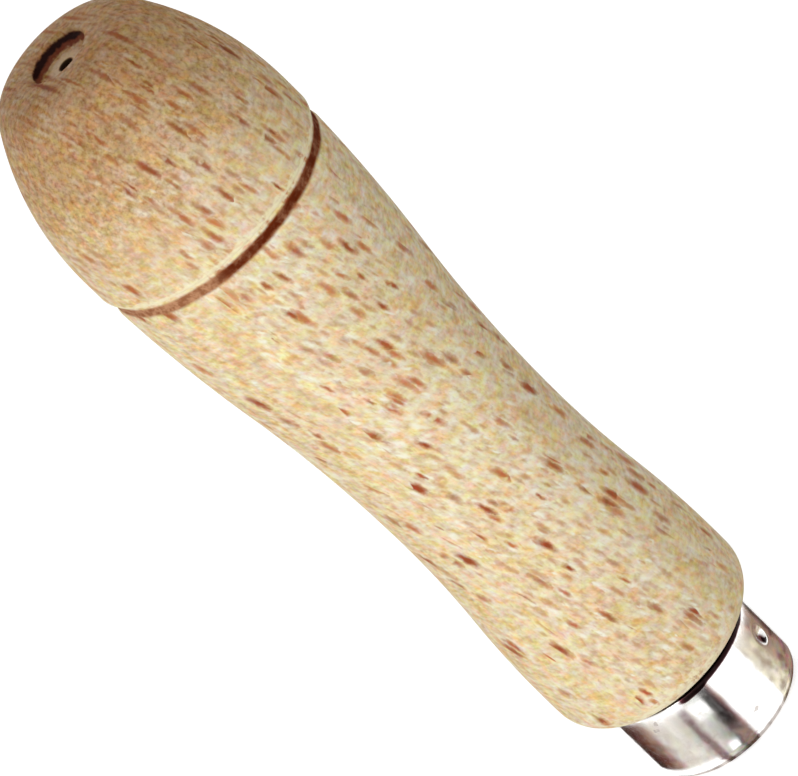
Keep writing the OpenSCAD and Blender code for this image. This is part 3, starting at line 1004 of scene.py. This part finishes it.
def make_front_card():
    """A glowing card on the table round the shell's front that paints the shell's reflection, laid out by
    where its places show in the shell.
    """
    columns, rows = 96, 34
    low, high, under, reach = -0.985, 0.985, -2.0, 13.5
    places, corners, faces = [], [], []
    for i in range(columns + 1):
        q = low + (high - low) * i / columns
        for j in range(rows + 1):
            level = under + (reach - under) * j / rows
            x, y = reflected_spot(q, level)
            places.append((x * MM, y * MM, 0.05 * MM))
            corners.append((q * 0.5 + 0.5, j / rows))
    for i in range(columns):
        for j in range(rows):
            a = i * (rows + 1) + j
            faces.append((a, a + rows + 1, a + rows + 2, a + 1))
    mesh = bpy.data.meshes.new("front_card")
    mesh.from_pydata(places, [], faces)
    layer = mesh.uv_layers.new(name="UVMap")
    for loop in mesh.loops:
        layer.data[loop.index].uv = corners[loop.vertex_index]
    add_card(mesh, glowing_reflection_card(under, reach))


def glowing_reflection_card(under, reach):
    """Soft glowing bands across the front card that paint the shell's reflection: white, a black one in the
    middle, greys, and brown at the edges.

    Side runs across the shell from -90 on the left to 90 on the right, and level is in millimetres up it.
    """
    material, t, glow = new_material("glowing_reflection_card", "ShaderNodeEmission")
    u, v = t.parts(t.put("ShaderNodeTexCoord").outputs["UV"])[:2]
    side = t.minus(t.times(u, 180.0), 90.0)
    level = t.spread(v, 0.0, 1.0, under, reach, smooth=False)
    stir = t.minus(t.noise(t.joined(t.times(side, 0.25), level, 0.0), 0.5, 3.0, 0.6), 0.5)
    side = t.plus(side, t.times(stir, 5.0))
    fine = t.noise(t.joined(t.times(side, 0.4), t.times(level, 1.3), 5.0), 1.0, 3.0, 0.7)
    side = t.plus(side, t.swing(fine, 6.0))
    place = t.over(t.plus(side, 90.0), 180.0)

    def at(side_number):
        return (side_number + 90.0) / 180.0

    def patches(stretch, rise, seed, scale, rough, output="Fac"):
        spot = t.joined(t.times(side, stretch), t.times(level, rise), seed)
        return t.noise(spot, scale, 3.0, rough, output)

    def near(value, middle, none, full):
        """1 close to a middle value and 0 away from it."""
        return t.spread(t.calc("ABSOLUTE", t.minus(value, middle)), none, full)

    bright = (1.25, 1.25, 1.25)
    ink = t.ramp(place, [
        (at(-86), (0.06, 0.02, 0.014)), (at(-80), (0.17, 0.065, 0.045)), (at(-74), (0.40, 0.26, 0.21)),
        (at(-68), (0.78, 0.73, 0.65)), (at(-54), (0.90, 0.86, 0.78)), (at(-41), (0.64, 0.60, 0.55)),
        (at(-38), (0.26, 0.16, 0.165)), (at(-33), (0.27, 0.17, 0.175)), (at(-30), (0.80, 0.77, 0.70)),
        (at(-17), (0.46, 0.46, 0.40)), (at(-11), (0.10, 0.085, 0.08)), (at(-7), (0.012, 0.008, 0.01)),
        (at(-1), (0.03, 0.018, 0.02)), (at(2), (0.26, 0.09, 0.08)), (at(5.5), bright), (at(48), bright),
        (at(52), (0.92, 0.86, 0.70)), (at(65), (0.84, 0.76, 0.60)), (at(73), (0.42, 0.30, 0.22)),
        (at(83), (0.33, 0.21, 0.15)), (at(86.5), (0.10, 0.055, 0.045))])
    front = t.times(t.spread(level, 5.5, 2.5), t.spread(side, -14.0, -9.0))
    ink = t.blend(front, ink, (0.30, 0.20, 0.17), "LIGHTEN")
    ink = t.blend(0.85, ink, patches(0.14, 1.2, 2.0, 0.95, 0.7, "Color"), "OVERLAY")
    blots = t.ramp(patches(0.09, 0.8, 7.0, 1.0, 0.65), [
        (0.36, (0.36, 0.25, 0.22)), (0.5, WHITE), (0.62, (1.35, 1.35, 1.3))])
    high_right = t.spread(side, 48.0, 52.0)
    ink = t.blend(t.plus(0.4, t.times(high_right, 0.55)), ink, blots, "MULTIPLY")

    # Clear white close to the collar, at two spots left of the middle and at the front's left tip
    low_left = t.window(side, -66.0, -58.0, -32.0, -26.0)
    middle = t.window(side, -31.0, -26.0, 6.0, 9.0)
    wider = t.plus(low_left, t.times(high_right, 0.8))
    edge = t.minus(t.plus(11.3, t.times(middle, 0.3)), wider)
    collar = t.spread(t.plus(level, t.times(stir, 1.2)), edge, t.plus(edge, 0.3))
    tip = t.times(t.spread(level, 2.6, 1.9), t.spread(side, -38.0, -44.0))
    spot = t.times(near(side, -20.0, 10.0, 7.0), near(level, 8.9, 1.7, 1.0))
    small = t.times(near(side, -20.0, 7.0, 3.0), near(level, 2.3, 0.9, 0.3))
    ink = t.blend(t.most(collar, tip, spot, small), ink, (1.6, 1.6, 1.6))
    ink = t.blend(t.window(place, at(4.0), at(6.0), at(48.0), at(51.0)), ink, (1.5, 1.5, 1.5))

    # Painted contact shade in the reflection: brown and uneven at the foot
    foot = t.spread(t.plus(level, t.times(stir, 0.8)), 0.35, -0.1)
    shade = t.noise(t.joined(t.times(side, 0.08), 0.0, 3.0), 1.0)
    shade = t.blend(shade, (0.06, 0.03, 0.025), (0.75, 0.70, 0.66))
    t.link(t.blend(foot, ink, t.blend(1.0, ink, shade, "MULTIPLY")), glow.inputs["Color"])
    return material


def make_dark_cards():
    """A narrow dark card behind the shell gives its back an edge; an upright one shows in a punch mark."""
    material, _, glow = new_material("card_dark", "ShaderNodeEmission")
    glow.inputs["Color"].default_value = (0.06, 0.05, 0.05, 1.0)
    lying = [(-0.004, 0.0104, 0.0003), (0.004, 0.0104, 0.0003), (0.02, 0.06, 0.0003), (-0.02, 0.06, 0.0003)]
    upright = [(0.125, -0.01, 0.0), (0.06, 0.15, 0.0), (0.06, 0.15, 0.25), (0.125, -0.01, 0.25)]
    for name, corners in (("back_card", lying), ("side_flag", upright)):
        mesh = bpy.data.meshes.new(name)
        mesh.from_pydata(corners, [], [(0, 1, 2, 3)])
        add_card(mesh, material)


make_floor()
make_world()
make_front_card()
make_dark_cards()
make_lamp("key_softbox", place=(-0.26, -0.43, 0.06), aim=(0.0, 0.0, 0.06), size=(0.35, 0.11), power=1.05)

handle = turn_piece("turned_handle", butt_section() + grip_section() + spigot_section(), beech, {
    "Facets": 256, "Unevenness": 0.05 * MM, "Unevenness Size": 12 * MM})
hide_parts("handle")
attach(handle, ROOT)

ferrule = turn_piece("drawn_ferrule", shell_section(), steel, {
    "Facets": 360, "Unevenness": 0.03 * MM, "Unevenness Size": 4 * MM})
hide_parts("ferrule")
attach(ferrule, ROOT)
